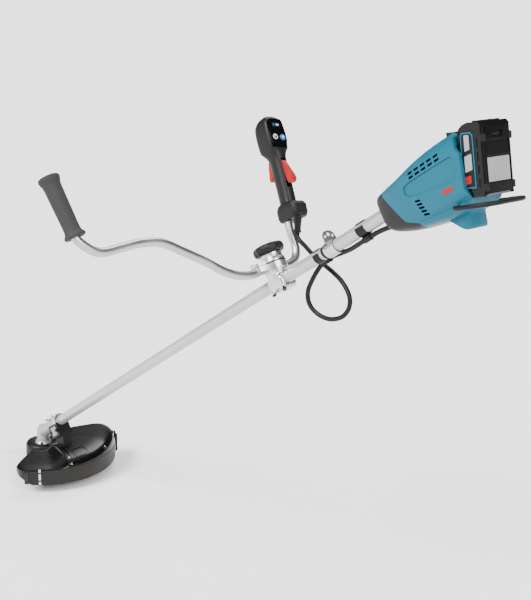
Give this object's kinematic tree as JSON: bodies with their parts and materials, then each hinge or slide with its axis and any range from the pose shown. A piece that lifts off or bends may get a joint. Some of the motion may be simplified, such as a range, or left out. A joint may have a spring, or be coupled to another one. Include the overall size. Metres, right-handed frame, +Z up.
{
  "type": "brush cutter",
  "caption": "Battery brush cutter: straight shaft with bevel gear case, line head and curved guard, lopsided two-grip bar, harness plate, rear motor housing and slide-in battery.",
  "frame": {"origin": "centre of the hook hole in the harness hanger plate, which stands on top of the shaft between the handle clamp and the motor housing", "axes": "+X level, running back from the cutting head towards the battery; +Y to the operator's right, the side of the control grip; +Z up, parallel to the cutting head's axis. The shaft climbs at 33.5 degrees towards +X."},
  "size_m": [1.7347, 0.7147, 1.1654],
  "materials": {
    "shaft_alloy": "satin",
    "bright_alloy": "bright satin",
    "gear_casting": "painted",
    "steel": "machined",
    "dark_steel": "blackened",
    "windings": "varnished",
    "teal_plastic": "fine texture",
    "grey_plastic": "fine texture",
    "soft_rubber": "matte",
    "gloss_black": "gloss",
    "matte_black": "matte",
    "skirt_plastic": "satin",
    "red_plastic": "satin",
    "white_plastic": "satin",
    "blue_plastic": "satin",
    "nylon": "translucent",
    "cable_jacket": "matte"
  },
  "bodies": {
    "frame": {"shaft_tube": "shaft_alloy", "shaft_bushing_1": "soft_rubber", "shaft_bushing_2": "soft_rubber", "gear_case": "gear_casting", "gear_flange": "gear_casting", "flange_screw_1": "dark_steel", "flange_screw_2": "dark_steel", "guard_shell": "gloss_black", "guard_skirt": "skirt_plastic", "line_cutter": "steel", "guard_bracket": "gloss_black", "bracket_screw_1": "dark_steel", "bracket_screw_2": "dark_steel", "clamp_cap": "bright_alloy", "clamp_base": "bright_alloy", "clamp_screw_1": "dark_steel", "clamp_screw_2": "dark_steel", "hanger": "bright_alloy", "hanger_sleeve": "soft_rubber", "cable_clip_1": "soft_rubber", "cable_clip_2": "soft_rubber", "cable": "cable_jacket", "boot": "grey_plastic", "housing_left": "teal_plastic", "housing_right": "teal_plastic", "motor_stator": "windings", "motor_mount": "gear_casting", "controller_box": "matte_black", "battery_cradle": "matte_black", "battery_loop": "gloss_black"},
    "bar": {"handlebar": "bright_alloy", "bar_jaw_lower": "bright_alloy", "bar_jaw_upper": "bright_alloy", "jaw_screw": "dark_steel", "plain_grip": "soft_rubber", "control_shell_left": "grey_plastic", "control_shell_right": "grey_plastic", "control_panel": "gloss_black", "indicator_window": "blue_plastic", "control_foot": "grey_plastic", "cable_gland": "soft_rubber"},
    "knob": {"clamp_knob": "grey_plastic"},
    "drive": {"drive_shaft": "steel", "pinion": "steel", "motor_rotor": "dark_steel"},
    "output": {"output_spindle": "steel", "bevel_wheel": "steel", "head_body": "grey_plastic", "head_cover": "grey_plastic", "line_spool": "matte_black", "nylon_line_1": "nylon", "nylon_line_2": "nylon"},
    "bump": {"bump_knob": "matte_black"},
    "trigger": {"trigger": "red_plastic"},
    "lock_off": {"lock_off_lever": "red_plastic"},
    "power_key": {"power_button": "white_plastic"},
    "mode_key": {"mode_button": "blue_plastic"},
    "battery": {"battery_case": "gloss_black"},
    "release": {"battery_release": "grey_plastic"}
  },
  "joints": [
    {"name": "bar_swing", "type": "hinge", "parent": "frame", "child": "bar", "pos_m": [-0.16132, 0, -0.09598], "axis": [-0.5519, 0, 0.8339], "range_deg": [0, 90], "deforming": ["cable"]},
    {"name": "knob_turn", "type": "hinge", "parent": "frame", "child": "knob", "pos_m": [-0.17788, 0, -0.07097], "axis": [-0.5519, 0, 0.8339], "range_deg": [0, 720]},
    {"name": "drive_spin", "type": "hinge", "parent": "frame", "child": "drive", "pos_m": [-0.63958, 0, -0.4605], "axis": [0.8339, 0, 0.5519], "continuous": true},
    {"name": "head_spin", "type": "hinge", "parent": "frame", "child": "output", "pos_m": [-1.13574, 0, -0.8489], "axis": [0, 0, 1], "continuous": true},
    {"name": "bump_press", "type": "slide", "parent": "output", "child": "bump", "axis": [0, 0, 1], "range_m": [0, 0.003], "stiffness_N_per_m": 900, "springref_m": -0.002},
    {"name": "trigger_pull", "type": "hinge", "parent": "bar", "child": "trigger", "pos_m": [-0.30237, 0.12769, 0.11032], "axis": [-0.0757, -0.9905, 0.1144], "range_deg": [0, 14], "stiffness_Nm_per_rad": 0.8, "springref_deg": -8.59},
    {"name": "lock_off_press", "type": "hinge", "parent": "bar", "child": "lock_off", "pos_m": [-0.27244, 0.12542, 0.11042], "axis": [0.0757, 0.9905, -0.1144], "range_deg": [0, 13], "stiffness_Nm_per_rad": 0.6, "springref_deg": -6.88},
    {"name": "power_press", "type": "slide", "parent": "bar", "child": "power_key", "axis": [-0.8663, 0.0085, -0.4994], "range_m": [0, 0.0015], "stiffness_N_per_m": 400, "springref_m": -0.001},
    {"name": "mode_press", "type": "slide", "parent": "bar", "child": "mode_key", "axis": [-0.8663, 0.0085, -0.4994], "range_m": [0, 0.0015], "stiffness_N_per_m": 400, "springref_m": -0.001},
    {"name": "battery_slide", "type": "slide", "parent": "frame", "child": "battery", "axis": [-0.1822, 0, 0.9833], "range_m": [0, 0.13]},
    {"name": "release_press", "type": "slide", "parent": "battery", "child": "release", "axis": [-0.9833, 0, -0.1822], "range_m": [0, 0.003], "stiffness_N_per_m": 600, "springref_m": -0.002}
  ],
  "couplings": [
    {"joint": "drive_spin", "follows": "head_spin", "ratio": 1.3333}
  ]
}
